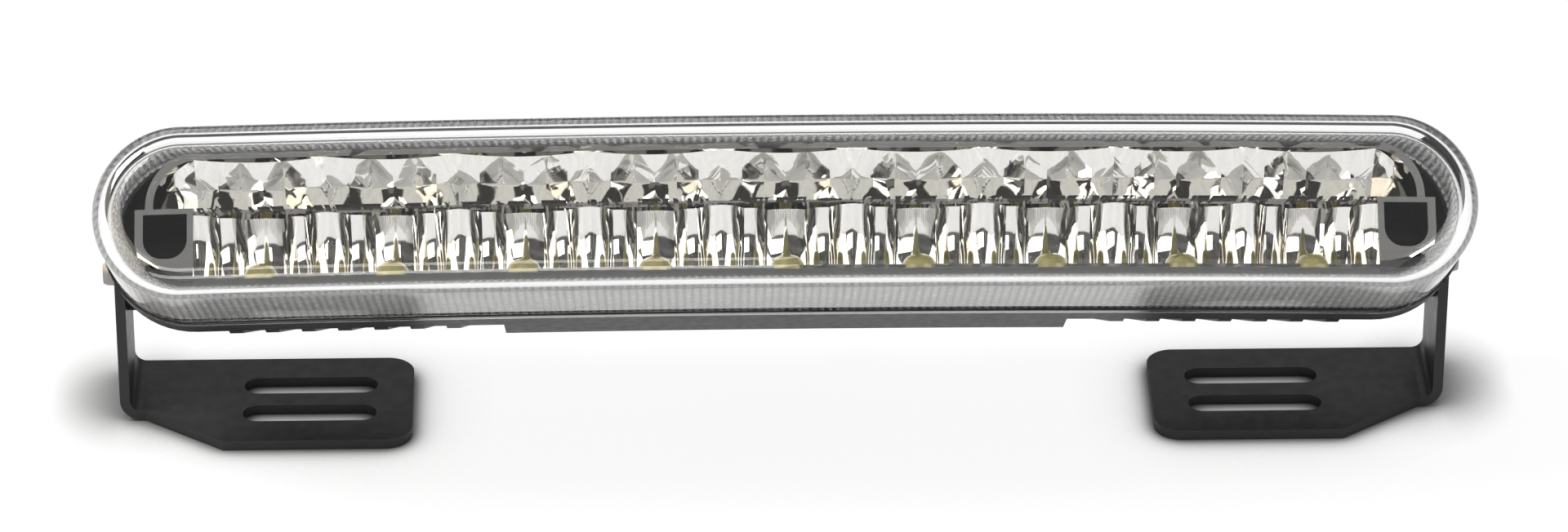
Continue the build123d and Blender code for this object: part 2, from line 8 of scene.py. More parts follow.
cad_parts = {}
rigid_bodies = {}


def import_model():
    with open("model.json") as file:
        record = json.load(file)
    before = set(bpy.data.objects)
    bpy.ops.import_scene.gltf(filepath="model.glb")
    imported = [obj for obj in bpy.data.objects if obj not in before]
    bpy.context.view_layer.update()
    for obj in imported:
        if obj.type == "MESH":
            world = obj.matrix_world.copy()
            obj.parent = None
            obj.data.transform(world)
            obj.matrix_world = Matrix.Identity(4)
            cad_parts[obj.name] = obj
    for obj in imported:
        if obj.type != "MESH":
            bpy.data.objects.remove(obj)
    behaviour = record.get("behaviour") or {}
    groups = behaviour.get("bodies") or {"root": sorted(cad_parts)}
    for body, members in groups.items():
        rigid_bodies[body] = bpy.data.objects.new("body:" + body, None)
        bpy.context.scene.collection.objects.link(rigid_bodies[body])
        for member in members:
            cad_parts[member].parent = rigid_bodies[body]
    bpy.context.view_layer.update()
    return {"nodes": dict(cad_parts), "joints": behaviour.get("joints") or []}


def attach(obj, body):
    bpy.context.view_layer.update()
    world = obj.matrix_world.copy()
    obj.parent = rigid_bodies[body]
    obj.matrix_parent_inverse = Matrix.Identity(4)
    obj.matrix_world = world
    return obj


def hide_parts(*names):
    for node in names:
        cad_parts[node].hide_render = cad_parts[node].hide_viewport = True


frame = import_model()
nodes = frame["nodes"]
scene = bpy.context.scene
scene.view_settings.view_transform = "Standard"
mm = 0.001
print("frame loaded:", len(nodes), "nodes")


# The lamp's own axes: along the bar, up, and ahead of the rim, in millimetres

lampSet = {
    "tilt": 43.0, "barRadius": 1050.0, "pivotToRim": 23.0,
    "rimHalf": 13.5, "length": 200.0,
}

hinge = frame["joints"][0]["pos_m"]
pivot = Vector((0, hinge[1], hinge[2]))
tilt = radians(lampSet["tilt"])
alongDir = Vector((1, 0, 0))
upDir = Vector((0, sin(tilt), cos(tilt)))
aheadDir = Vector((0, -cos(tilt), sin(tilt)))
barRadius = lampSet["barRadius"]
endAngle = asin((lampSet["length"] / 2 - lampSet["rimHalf"]) / barRadius)


def lampPoint(along, up, out):
    return pivot + mm * (along * alongDir + up * upDir + out * aheadDir)


def barPoint(angle, up, ahead, across=0.0):
    reach = barRadius + ahead
    along = reach * sin(angle) + across * cos(angle)
    out = lampSet["pivotToRim"] - barRadius + reach * cos(angle) - across * sin(angle)
    return lampPoint(along, up, out)


def flatPoint(along, up, ahead):
    return barPoint(asin(along / (barRadius + ahead)), up, ahead)


def endPoint(side, turn, half, ahead):
    return barPoint(side * endAngle, half * cos(turn), ahead, side * half * sin(turn))


# Mesh helpers

def buildObject(name, verts, faces, smoothAngle=None, weld=0.0, mask=None):
    mesh = bpy.data.meshes.new(name)
    mesh.from_pydata([tuple(v) for v in verts], [], faces)
    if mask:
        mesh.attributes.new("mask", "FLOAT", "POINT").data.foreach_set("value", mask)
    bm = bmesh.new()
    bm.from_mesh(mesh)
    if weld:
        bmesh.ops.remove_doubles(bm, verts=bm.verts, dist=weld)
    bmesh.ops.recalc_face_normals(bm, faces=bm.faces)
    bm.to_mesh(mesh)
    bm.free()
    if smoothAngle is not None:
        mesh.shade_smooth()
        mesh.set_sharp_from_angle(angle=radians(smoothAngle))
    piece = bpy.data.objects.new(name, mesh)
    scene.collection.objects.link(piece)
    return piece


def gridFaces(rows, columns, start=0, wrap=False):
    faces = []
    for r in range(rows - 1):
        low, high = start + r * columns, start + (r + 1) * columns
        for c in range(columns if wrap else columns - 1):
            d = (c + 1) % columns
            faces.append((low + c, low + d, high + d, high + c))
    return faces


def slabFaces(rows, columns):
    # Two like grids, one behind the other, closed round their edge
    count = rows * columns
    faces = gridFaces(rows, columns)
    faces += [f[::-1] for f in gridFaces(rows, columns, count)]
    ring = list(range(columns))
    ring += [r * columns + columns - 1 for r in range(1, rows)]
    ring += [(rows - 1) * columns + c for c in range(columns - 2, -1, -1)]
    ring += [r * columns for r in range(rows - 2, 0, -1)]
    for a, b in zip(ring, ring[1:] + ring[:1]):
        faces.append((b, a, a + count, b + count))
    return faces


def buildPrism(name, lowRing, highRing):
    # Closed bar between two like rings of points
    count = len(lowRing)
    faces = [tuple(range(count)), tuple(range(2 * count - 1, count - 1, -1))]
    for i in range(count):
        j = (i + 1) % count
        faces.append((i, i + count, j + count, j))
    return buildObject(name, lowRing + highRing, faces)


def circle(radius, steps=32):
    turns = [2 * pi * i / steps for i in range(steps)]
    return [(radius * cos(t), radius * sin(t)) for t in turns]


def evenly(reach, steps):
    # Even steps from -reach to reach
    return [reach * (2 * i / steps - 1) for i in range(steps + 1)]


# Clear cover: one section run round the bar, with reeds inside its side wall

lensSet = {
    "depth": 18.5, "wall": 1.8, "draft": 1.5, "shoulder": 4.0, "skirtHalf": 13.2,
    "beadDepth": 1.5, "tongueLength": 1.5, "tongueWall": 0.8, "wallRows": (10.0, 6.0),
    "reedPitch": 1.14, "reedDeep": 0.32, "reedSteps": 6,
    "reedStart": 0.5, "reedEnd": 13.4, "reedRun": 0.9,
    "reedRows": (0.3, 0.5, 0.7),  # shares of the reed's length at full depth
    "reedTip": ((0.6, 0.8), (0.25, 0.45), (0, 0)),  # share of the run-out, share of the depth
    # grooveFrostAndShade: the mask's value in the grooves, both frost and painted shade
    "arcSteps": 9, "grooveFrostAndShade": 0.15,
    "shoulderFrost": (0.4, 0.35, 0.3, 0.25, 0.2, 0.1),  # inner shoulder, from the wall on
    "sharpAngle": 28, "weld": 1e-7,
}


def shoulderArc(front, half, radius, steps):
    # Round corner between the front and the drafted wall, front end first
    draft = radians(lensSet["draft"])
    centre = front - radius
    level = half - centre * tan(draft) - radius / cos(draft)
    turns = [(pi / 2 - draft) * i / steps for i in range(steps + 1)]
    return [(centre + radius * cos(t), level + radius * sin(t)) for t in turns]


def lensRows():
    # (ahead, half width, reed depth) from the outer front round to the inner front
    s = lensSet
    draft = tan(radians(s["draft"]))
    inner = s["skirtHalf"] - s["wall"]
    middle = s["skirtHalf"] - s["wall"] / 2
    low, high = middle - s["tongueWall"] / 2, middle + s["tongueWall"] / 2
    innerFront = s["depth"] - s["wall"]
    outerArc = shoulderArc(s["depth"], s["skirtHalf"], s["shoulder"], s["arcSteps"])
    innerArc = shoulderArc(innerFront, inner, s["shoulder"] - s["wall"] / 2, s["arcSteps"])
    rows = [(s["depth"], 0, 0), (s["depth"], outerArc[0][1] / 2, 0)]
    rows += [(ahead, half, 0) for ahead, half in outerArc]
    for ahead in (*s["wallRows"], s["beadDepth"]):
        rows.append((ahead, s["skirtHalf"] - ahead * draft, 0))
    rows += [(s["beadDepth"], lampSet["rimHalf"], 0), (0, lampSet["rimHalf"], 0)]
    rows += [(0, high, 0), (-s["tongueLength"], high, 0)]
    rows += [(-s["tongueLength"], low, 0), (0, low, 0), (0, inner, 0)]
    run = s["reedEnd"] - s["reedStart"]
    tip = s["reedRun"] / run
    spots = [(0, 0), (tip, 1)] + [(share, 1) for share in s["reedRows"]] + [(1 - tip, 1)]
    spots += [(1 - tip * share, reed) for share, reed in s["reedTip"]]
    for share, reed in spots:
        ahead = s["reedStart"] + run * share
        rows.append((ahead, inner - ahead * draft, reed))
    rows += [(ahead, half, 0) for ahead, half in reversed(innerArc)]
    rows += [(innerFront, innerArc[0][1] / 2, 0), (innerFront, 0, 0)]
    return rows


def lensStations():
    # Round the bar: lower side, right end, upper side, left end
    s = lensSet
    straight = 2 * endAngle * barRadius
    bend = pi * (s["skirtHalf"] - s["wall"])
    sideSteps = round(straight / s["reedPitch"]) * s["reedSteps"]
    endSteps = round(bend / s["reedPitch"]) * s["reedSteps"]
    angles = evenly(endAngle, sideSteps)[:-1]
    turns = [pi * i / endSteps for i in range(endSteps)]
    stations = [lambda half, ahead, a=a: barPoint(a, -half, ahead) for a in angles]
    stations += [lambda half, ahead, t=t: endPoint(1, pi - t, half, ahead) for t in turns]
    stations += [lambda half, ahead, a=a: barPoint(-a, half, ahead) for a in angles]
    stations += [lambda half, ahead, t=t: endPoint(-1, t, half, ahead) for t in turns]
    return stations


def buildLens():
    s = lensSet
    rows, stations = lensRows(), lensStations()
    shoulderStart = len(rows) - s["arcSteps"] - 3
    verts, frostAndGrooveShade = [], []
    for r, (ahead, half, reed) in enumerate(rows):
        spot = r - shoulderStart
        onShoulder = 0 <= spot < len(s["shoulderFrost"])
        for c, station in enumerate(stations):
            swell = abs(sin(pi * c / s["reedSteps"]))
            verts.append(station(half - reed * s["reedDeep"] * swell, ahead))
            # Mask: frost amount for roughness, which on the reeds also sets painted shade, darkest
            # in the grooves
            crown = s["grooveFrostAndShade"] + (1 - s["grooveFrostAndShade"]) * swell if reed else 0.0
            frostAndGrooveShade.append(s["shoulderFrost"][spot] if onShoulder else crown)
    faces = gridFaces(len(rows), len(stations), wrap=True)
    lens = buildObject("clear_cover", verts, faces, s["sharpAngle"], s["weld"], frostAndGrooveShade)
    reeded = [r for r in range(len(rows) - 1) if rows[r][2] and rows[r + 1][2]]
    first, last = reeded[0] * len(stations), (reeded[-1] + 1) * len(stations)
    for face in lens.data.polygons[first:last]:
        face.material_index = 1  # the reeds' own finish
    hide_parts("lens")
    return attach(lens, "lamp")


# Reflector: block with posts, minus its scoops, shelf front, pockets and diode holes

mirrorSet = {
    "cells": 9, "pitch": 19.1, "front": 11.7, "back": 0.4, "top": 9.65, "rim": 1.2, "skin": 1.5,
    "board": -9.8, "floor": 0.5, "tier": 1.2, "ledge": 0.8, "ledgeFront": 9.8,
    "ledAhead": 9.3, "lowerFocus": 6.0, "upperFocus": 9.0,
    "upperHalf": 92.9, "corner": 8.0, "overhang": 1.5, "cutAlong": 6.0, "cutUp": 3.5,
    "pocketLength": 6.4, "pocketHeight": 6.6, "pocketCorner": 2.8, "pocketDeep": 8.0,
    "ledHole": 3.2, "holeBelow": 0.3, "holeAbove": 0.4,
    "centreFlute": 5.4, "fluteBulge": 0.5, "fluteSteps": 10, "rowSteps": 30,
    "folds": 3, "foldRise": 0.95, "foldSteps": 48,
    "postAlong": 45.2, "postRadius": 2.4, "postReach": 12.0,
    "pilotRadius": 1.3, "pilotDepth": 5.0,
    "barSteps": 60, "blockStraight": 84.0, "cutSteps": 4, "cornerSteps": 14, "pocketSteps": 8,
    "stepWidth": 0.02, "leastEdge": 0.001, "sharpAngle": 14,
}
floorTop = mirrorSet["board"] + mirrorSet["floor"]
ledgeLow = mirrorSet["tier"] - mirrorSet["ledge"]
windowTop = mirrorSet["top"] - mirrorSet["rim"]
cutterFar = mirrorSet["front"] + mirrorSet["rim"]
cellStep = mirrorSet["pitch"] / (barRadius + mirrorSet["front"])
cellAngles = [cellStep * (n - (mirrorSet["cells"] - 1) / 2) for n in range(mirrorSet["cells"])]


def upperDepth(across, up):
    s = mirrorSet
    bowl = s["ledAhead"] - s["upperFocus"]
    bowl += ((up - floorTop) ** 2 + across**2) / (4 * s["upperFocus"])
    # Folded facets, a ridge and a crease in turn
    column = abs((across / s["pitch"] + 0.5) * s["folds"] % 1 - 0.5)
    row = abs((up - s["tier"]) / (windowTop - s["tier"]) - 0.5)
    return bowl + s["foldRise"] * (1 - 2 * column) * (1 - 2 * row)


def fluteCreases():
    s = mirrorSet
    inner = s["centreFlute"] / 2
    outer = inner + (s["pitch"] - s["centreFlute"]) / 4
    return [-s["pitch"] / 2, -outer, -inner, inner, outer, s["pitch"] / 2]


def fluteDepth(low, high, across, up):
    # Upright flute bulging between two creases that lie on the parabola
    s = mirrorSet
    vertex = s["ledAhead"] - s["lowerFocus"] - s["fluteBulge"]
    first = vertex + low**2 / (4 * s["lowerFocus"])
    last = vertex + high**2 / (4 * s["lowerFocus"])
    share = (across - low) / (high - low)
    lift = (up - floorTop) ** 2 / (4 * s["lowerFocus"])
    return first + (last - first) * share + 4 * s["fluteBulge"] * share * (1 - share) + lift


def scoopRows():
    # Lists of (across, up, ahead) from low to high, for the lower and the upper scoops
    s = mirrorSet
    creases = fluteCreases()
    spots = evenly(s["pitch"] / 2, s["foldSteps"])
    lowerRows, upperRows = [], []
    for r in range(s["rowSteps"] + 1):
        share = r / s["rowSteps"]
        up = floorTop + (ledgeLow - floorTop) * share
        row = []
        for a, b in zip(creases, creases[1:]):
            for i in range(s["fluteSteps"]):
                across = a + (b - a) * i / s["fluteSteps"]
                row.append((across, up, fluteDepth(a, b, across, up)))
        row.append((creases[-1], up, fluteDepth(*creases[-2:], creases[-1], up)))
        lowerRows.append(row)
        up = s["tier"] + (windowTop - s["tier"]) * share
        upperRows.append([(across, up, upperDepth(across, up)) for across in spots])
    return lowerRows, upperRows


def endRows(upperRows, side, angle):
    # End scoop, which stops at the rounded end of the upper tier
    s = mirrorSet
    half = s["pitch"] / 2
    inner = s["corner"] - s["rim"]
    straight = s["upperHalf"] - s["rim"] - inner
    centre = (barRadius + s["front"]) * sin(abs(angle))
    rows = []
    for upperRow in upperRows:
        up = upperRow[0][1]
        dip = max(0.0, up - (windowTop - inner))
        reach = straight + sqrt(max(0.0, inner**2 - dip**2))
        row = []
        for i in range(len(upperRow)):
            across = -half + (reach - centre + half) * i / (len(upperRow) - 1)
            row.append((side * across, up, upperDepth(across, up)))
        rows.append(row)
    return rows


def cellCutter(name, angle, rows):
    spots = [spot for row in rows for spot in row]
    verts = [barPoint(angle, up, ahead, across) for across, up, ahead in spots]
    verts += [barPoint(angle, up, cutterFar, across) for across, up, ahead in spots]
    return buildObject(name, verts, slabFaces(len(rows), len(rows[0])))


def shelfFront():
    # Room in front of the shelf between the tiers
    s = mirrorSet
    angles = evenly(cellStep * s["cells"] / 2, s["barSteps"])
    spots = [(a, up) for up in (ledgeLow, s["tier"]) for a in angles]
    verts = [barPoint(a, up, ahead) for ahead in (s["ledgeFront"], cutterFar) for a, up in spots]
    return buildObject("shelfFront", verts, slabFaces(2, len(angles)))


def endPocket(side):
    # Dark pocket at the end of the lower tier, round at its lower corners
    s = mirrorSet
    half, bend = s["pocketLength"] / 2, s["pocketCorner"]
    middle = side * (s["upperHalf"] + s["overhang"] - s["rim"] - half)
    loop = [(half, 0), (-half, 0)]
    for sign, start in ((-1, pi), (1, 1.5 * pi)):
        for i in range(s["pocketSteps"] + 1):
            turn = start + pi / 2 * i / s["pocketSteps"]
            loop.append((sign * (half - bend) + bend * cos(turn),
                         -s["pocketHeight"] + bend + bend * sin(turn)))
    rings = [[lampPoint(middle + x, ledgeLow + y, lampSet["pivotToRim"] + out) for x, y in loop]
             for out in (-s["pocketDeep"], cutterFar)]
    return buildPrism("pocket", *rings)


def diodeHole(angle):
    s = mirrorSet
    rings = [[barPoint(angle, up, s["ledAhead"] + y, x) for x, y in circle(s["ledHole"])]
             for up in (s["board"] - s["holeBelow"], floorTop + s["holeAbove"])]
    return buildPrism("diodeHole", *rings)


def reflectorCutters():
    lowerRows, upperRows = scoopRows()
    cutters = []
    for n, angle in enumerate(cellAngles):
        cutters.append(cellCutter(f"lowerScoop{n}", angle, lowerRows))
        cutters.append(cellCutter(f"upperScoop{n}", angle, upperRows))
    for side in (-1, 1):
        angle = side * cellStep * (mirrorSet["cells"] + 1) / 2
        cutters.append(cellCutter("endScoop", angle, endRows(upperRows, side, angle)))
    cutters.append(shelfFront())
    cutters += [endPocket(side) for side in (-1, 1)]
    cutters += [diodeHole(angle) for angle in cellAngles]
    return cutters


def reflectorBlock():
    # Five-cornered section at each column along the bar
    s = mirrorSet
    lowerHalf = s["upperHalf"] + s["overhang"]
    straight = s["upperHalf"] - s["corner"]
    foot = s["tier"] + s["skin"]
    slope = (s["front"] / 2 - s["back"]) / (s["top"] - foot)
    columns = [lowerHalf - s["cutAlong"] * i / s["cutSteps"] for i in range(s["cutSteps"] + 1)]
    for i in range(s["cornerSteps"] + 1):
        columns.append(straight + s["corner"] * sin(pi / 2 * i / s["cornerSteps"]))
    columns.append(s["upperHalf"] + s["stepWidth"])
    columns += evenly(s["blockStraight"], s["barSteps"])
    columns += [-x for x in columns]
    columns = sorted({round(x, 4) for x in columns})
    verts = []
    for x in columns:
        reach = abs(x)
        cut = max(0.0, reach - (lowerHalf - s["cutAlong"])) / s["cutAlong"]
        low = s["board"] + s["cutUp"] * cut
        bulge = max(0.0, reach - straight)
        high = s["top"] - s["corner"] + sqrt(max(0.0, s["corner"] ** 2 - bulge**2))
        if reach > s["upperHalf"]:
            high = s["tier"]
        mid = min(foot, high - s["leastEdge"])
        lean = s["back"] + slope * max(0.0, high - foot)
        section = ((low, s["front"]), (high, s["front"]), (high, lean), (mid, s["back"]),
                   (low, s["back"]))
        verts += [flatPoint(x, up, ahead) for up, ahead in section]
    count, sides = len(columns), len(section)
    faces = gridFaces(count, sides, wrap=True)
    faces += [tuple(reversed(range(sides))), tuple(sides * (count - 1) + i for i in range(sides))]
    return buildObject("bright_reflector", verts, faces)


def postBars(name, radius, low, high):
    # One bar on each screw post's line, low and high measured from the rim
    bars = []
    for side in (-1, 1):
        along = side * mirrorSet["postAlong"]
        rings = [[lampPoint(along + x, y, lampSet["pivotToRim"] + out) for x, y in circle(radius)]
                 for out in (low, high)]
        bars.append(buildPrism(name, *rings))
    return bars


def combine(block, pieces, operation):
    # Boolean of the block with all the pieces, which are then thrown away
    tools = bpy.data.collections.new("tools")
    scene.collection.children.link(tools)
    for piece in pieces:
        scene.collection.objects.unlink(piece)
        tools.objects.link(piece)
    boolean = block.modifiers.new("combine", "BOOLEAN")
    boolean.operation = operation
    boolean.operand_type = "COLLECTION"
    boolean.collection = tools
    boolean.solver = "MANIFOLD"
    bpy.context.view_layer.update()
    graph = bpy.context.evaluated_depsgraph_get()
    mesh = bpy.data.meshes.new_from_object(block.evaluated_get(graph))
    block.modifiers.clear()
    block.data = mesh
    for piece in list(tools.objects):
        bpy.data.objects.remove(piece)
    bpy.data.collections.remove(tools)


def buildReflector():
    s = mirrorSet
    block = reflectorBlock()
    postEnd = -s["postReach"]
    combine(block, postBars("post", s["postRadius"], postEnd, s["back"] + s["skin"]), "UNION")
    pilotEnd = postEnd + s["pilotDepth"]
    pilots = postBars("pilot", s["pilotRadius"], postEnd - s["rim"], pilotEnd)
    combine(block, reflectorCutters() + pilots, "DIFFERENCE")
    mesh = block.data
    mesh.validate()
    mesh.shade_smooth()
    mesh.set_sharp_from_angle(angle=radians(s["sharpAngle"]))
    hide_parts("reflector")
    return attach(block, "lamp")


# Finishes

grainSet = {"detail": 4.0, "roughness": 0.6, "from": (0.3, 0.7), "bumpDistance": 0.0001}


def newMaterial(name):
    material = bpy.data.materials.new(name)
    material.use_nodes = True
    tree = material.node_tree
    return material, tree, tree.nodes["Principled BSDF"]


def setSockets(node, sockets):
    for name, value in sockets.items():
        node.inputs[name.replace("_", " ")].default_value = value


def addNode(tree, kind, **sockets):
    node = tree.nodes.new(kind)
    setSockets(node, sockets)
    return node


def addMath(tree, operation, value=0.5):
    node = tree.nodes.new("ShaderNodeMath")
    node.operation = operation
    node.inputs[1].default_value = value
    return node


def grainGroup():
    # Soft speckle between two values, and a height for bump
    s = grainSet
    group = bpy.data.node_groups.new("surfaceGrain", "ShaderNodeTree")
    for label in ("Scale", "Low", "High"):
        group.interface.new_socket(label, in_out="INPUT", socket_type="NodeSocketFloat")
    for label in ("Value", "Height"):
        group.interface.new_socket(label, in_out="OUTPUT", socket_type="NodeSocketFloat")
    source = group.nodes.new("NodeGroupInput")
    sink = group.nodes.new("NodeGroupOutput")
    place = group.nodes.new("ShaderNodeTexCoord")
    noise = addNode(group, "ShaderNodeTexNoise", Detail=s["detail"], Roughness=s["roughness"])
    spread = addNode(group, "ShaderNodeMapRange", From_Min=s["from"][0], From_Max=s["from"][1])
    link = group.links.new
    link(place.outputs["Object"], noise.inputs["Vector"])
    link(source.outputs["Scale"], noise.inputs["Scale"])
    link(noise.outputs["Fac"], spread.inputs["Value"])
    link(source.outputs["Low"], spread.inputs["To Min"])
    link(source.outputs["High"], spread.inputs["To Max"])
    link(spread.outputs["Result"], sink.inputs["Value"])
    link(noise.outputs["Fac"], sink.inputs["Height"])
    return group


grain = grainGroup()


def placeGrain(tree, scale, low, high):
    node = tree.nodes.new("ShaderNodeGroup")
    node.node_tree = grain
    setSockets(node, {"Scale": scale, "Low": low, "High": high})
    return node


def grainedFinish(name, colour, rough, metallic=0.0, scale=900.0, bump=0.0, bumpScale=0.0,
                  **sockets):
    material, tree, shader = newMaterial(name)
    setSockets(shader, {"Base Color": (*colour, 1), "Metallic": metallic, **sockets})
    speck = placeGrain(tree, scale, *rough)
    tree.links.new(speck.outputs["Value"], shader.inputs["Roughness"])
    if bump:
        relief = placeGrain(tree, bumpScale, 0, 1)
        lift = addNode(tree, "ShaderNodeBump", Strength=bump, Distance=grainSet["bumpDistance"])
        tree.links.new(relief.outputs["Height"], lift.inputs["Height"])
        tree.links.new(lift.outputs["Normal"], shader.inputs["Normal"])
    return material


mirrorFinishSet = {
    "colour": (0.86, 0.85, 0.82), "rough": (0.02, 0.06), "grainScale": 300,
    "rippleScale": 110.0, "rippleDetail": 1.0, "rippleDistortion": 0.8,
    "rippleStrength": 0.4, "rippleDistance": 0.0006, "rippleAbove": 1.2,
}


def mirrorFinish():
    # Vacuum metallising, with the slow ripple of the moulding in the upper tier
    s = mirrorFinishSet
    material, tree, shader = newMaterial("brightMetallising")
    setSockets(shader, {"Base Color": (*s["colour"], 1), "Metallic": 1.0})
    speck = placeGrain(tree, s["grainScale"], *s["rough"])
    place = tree.nodes.new("ShaderNodeTexCoord")
    noise = addNode(tree, "ShaderNodeTexNoise", Scale=s["rippleScale"],
                    Detail=s["rippleDetail"], Distortion=s["rippleDistortion"])
    level = tree.nodes.new("ShaderNodeVectorMath")
    level.operation = "DOT_PRODUCT"
    level.inputs[1].default_value = upDir / mm
    above = addMath(tree, "GREATER_THAN", s["rippleAbove"] + pivot.dot(upDir) / mm)
    amount = addMath(tree, "MULTIPLY", s["rippleStrength"])
    lift = addNode(tree, "ShaderNodeBump", Distance=s["rippleDistance"])
    link = tree.links.new
    link(speck.outputs["Value"], shader.inputs["Roughness"])
    link(place.outputs["Object"], noise.inputs["Vector"])
    link(place.outputs["Object"], level.inputs[0])
    link(level.outputs["Value"], above.inputs[0])
    link(above.outputs[0], amount.inputs[0])
    link(amount.outputs[0], lift.inputs["Strength"])
    link(noise.outputs["Fac"], lift.inputs["Height"])
    link(lift.outputs["Normal"], shader.inputs["Normal"])
    return material


coverSet = {
    "ior": 1.585, "clear": (0.0, 0.03), "clearScale": 400, "frostRough": 0.25,
    # reedPaintedShade: painted shade, the base colour from groove to crest
    "reedRough": (0.2, 0.32), "reedScale": 900, "reedThrough": 0.5, "reedPaintedShade": (0.45, 0.95),
}


def reedMask(tree):
    node = tree.nodes.new("ShaderNodeAttribute")
    node.attribute_name = "mask"
    return node.outputs["Fac"]


def coverFinish():
    # Clear polycarbonate, rougher on the shoulder next to the reeds
    s = coverSet
    material, tree, shader = newMaterial("clearCover")
    setSockets(shader, {"Base Color": (1, 1, 1, 1), "IOR": s["ior"], "Transmission Weight": 1.0})
    speck = placeGrain(tree, s["clearScale"], *s["clear"])
    rough = addNode(tree, "ShaderNodeMapRange", To_Max=s["frostRough"])
    tree.links.new(reedMask(tree), rough.inputs["Value"])
    tree.links.new(speck.outputs["Value"], rough.inputs["To Min"])
    tree.links.new(rough.outputs["Result"], shader.inputs["Roughness"])
    return material


def reedFinish():
    # Eroded moulding of the reeds, half milky, with painted shade that darkens the base colour down
    # in the grooves
    s = coverSet
    material, tree, shader = newMaterial("reedBand")
    setSockets(shader, {"IOR": s["ior"], "Transmission Weight": s["reedThrough"]})
    speck = placeGrain(tree, s["reedScale"], *s["reedRough"])
    # Base colour from the mask: painted shade, darker down in the grooves
    paintedGrooveShade = addNode(tree, "ShaderNodeMapRange", To_Min=s["reedPaintedShade"][0], To_Max=s["reedPaintedShade"][1])
    tree.links.new(speck.outputs["Value"], shader.inputs["Roughness"])
    tree.links.new(reedMask(tree), paintedGrooveShade.inputs["Value"])
    tree.links.new(paintedGrooveShade.outputs["Result"], shader.inputs["Base Color"])
    return material


finishSet = {
    "blackCoat": {"colour": (0.012, 0.012, 0.013), "rough": (0.38, 0.5), "scale": 700,
                  "bump": 0.25, "bumpScale": 2600, "Specular_IOR_Level": 0.28},
    "sheetCoat": {"colour": (0.012, 0.012, 0.013), "rough": (0.36, 0.48), "scale": 500,
                  "bump": 0.2, "bumpScale": 2200, "Specular_IOR_Level": 0.28},
    "softRubber": {"colour": (0.02, 0.02, 0.02), "rough": (0.7, 0.85)},
    "boardMask": {"colour": (0.02, 0.024, 0.02), "rough": (0.35, 0.5), "scale": 600},
    "gapPad": {"colour": (0.35, 0.37, 0.4), "rough": (0.7, 0.85)},
    "phosphor": {"colour": (0.4, 0.35, 0.1), "rough": (0.25, 0.4),
                 "Coat_Weight": 1.0, "Coat_Roughness": 0.05},
    "platedSteel": {"colour": (0.6, 0.59, 0.56), "rough": (0.25, 0.4), "metallic": 1.0},
    "boltSteel": {"colour": (0.3, 0.28, 0.26), "rough": (0.28, 0.42), "metallic": 1.0,
                  "scale": 1500},
    "driverMask": {"colour": (0.02, 0.1, 0.04), "rough": (0.35, 0.5)},
    "darkMoulding": {"colour": (0.025, 0.025, 0.027), "rough": (0.5, 0.65)},
    "canMetal": {"colour": (0.6, 0.6, 0.62), "rough": (0.3, 0.4), "metallic": 1.0},
    "wireJacket": {"colour": (0.4, 0.03, 0.025), "rough": (0.4, 0.5)},
}
wearSet = {
    "blackCoat": ("housing",),
    "sheetCoat": ("left_bracket", "right_bracket"),
    "softRubber": ("lens_seal", "cable_grommet"),
    "boardMask": ("led_board",),
    "gapPad": ("thermal_pad",),
    "phosphor": ("leds",),
    "platedSteel": ("reflector_screws", "board_screws", "driver_screws"),
    "boltSteel": ("left_pivot_bolt", "right_pivot_bolt"),
    "driverMask": ("driver_board",),
    "darkMoulding": ("driver_coil", "driver_chip", "breather_vent"),
    "canMetal": ("driver_capacitor",),
    "wireJacket": ("link_wires",),
}


def dress(piece, *materials):
    spots = [face.material_index for face in piece.data.polygons]
    piece.data.materials.clear()  # also sets every face back to the first slot
    for material in materials:
        piece.data.materials.append(material)
    if len(materials) > 1:
        piece.data.polygons.foreach_set("material_index", spots)


def dressNodes():
    for name, worn in wearSet.items():
        material = grainedFinish(name, **finishSet[name])
        for node in worn:
            dress(nodes[node], material)


# Studio: camera, pale floor and soft lamps

cameraSet = {
    "azimuth": 1.6, "elevation": 30.0, "roll": 0.21, "distance": 1.05, "focal": 165.9,
    "aimAhead": 30.0, "aimRight": -0.3, "aimUp": -7.64, "sensor": 36, "farClip": 20,
}


def buildCamera():
    s = cameraSet
    a, e, roll = radians(s["azimuth"]), radians(s["elevation"]), radians(s["roll"])
    back = Vector((-sin(a) * cos(e), -cos(a) * cos(e), sin(e)))
    right = Vector((cos(a), -sin(a), 0))
    up = back.cross(right)
    aim = lampPoint(0, 0, s["aimAhead"]) + mm * (s["aimRight"] * right + s["aimUp"] * up)
    turnedRight = right * cos(roll) + up * sin(roll)
    turnedUp = up * cos(roll) - right * sin(roll)
    camera = bpy.data.objects.new("camera", bpy.data.cameras.new("camera"))
    scene.collection.objects.link(camera)
    camera.data.lens = s["focal"]
    camera.data.sensor_width = s["sensor"]
    camera.data.sensor_fit = "HORIZONTAL"
    camera.data.clip_end = s["farClip"]
    turn = Matrix((turnedRight, turnedUp, back)).transposed().to_4x4()
    camera.matrix_world = Matrix.Translation(aim + s["distance"] * back) @ turn
    scene.camera = camera


def pathMask(tree, *kinds):
    # 1 for rays of the named kinds, 0 for the rest
    path = tree.nodes.new("ShaderNodeLightPath")
    mask = path.outputs[kinds[0]]
    for kind in kinds[1:]:
        either = addMath(tree, "MAXIMUM")
        tree.links.new(mask, either.inputs[0])
        tree.links.new(path.outputs[kind], either.inputs[1])
        mask = either.outputs[0]
    return mask


worldSet = {"fill": 0.5, "seen": 0.05}  # strength as light, and as seen in metal and glass


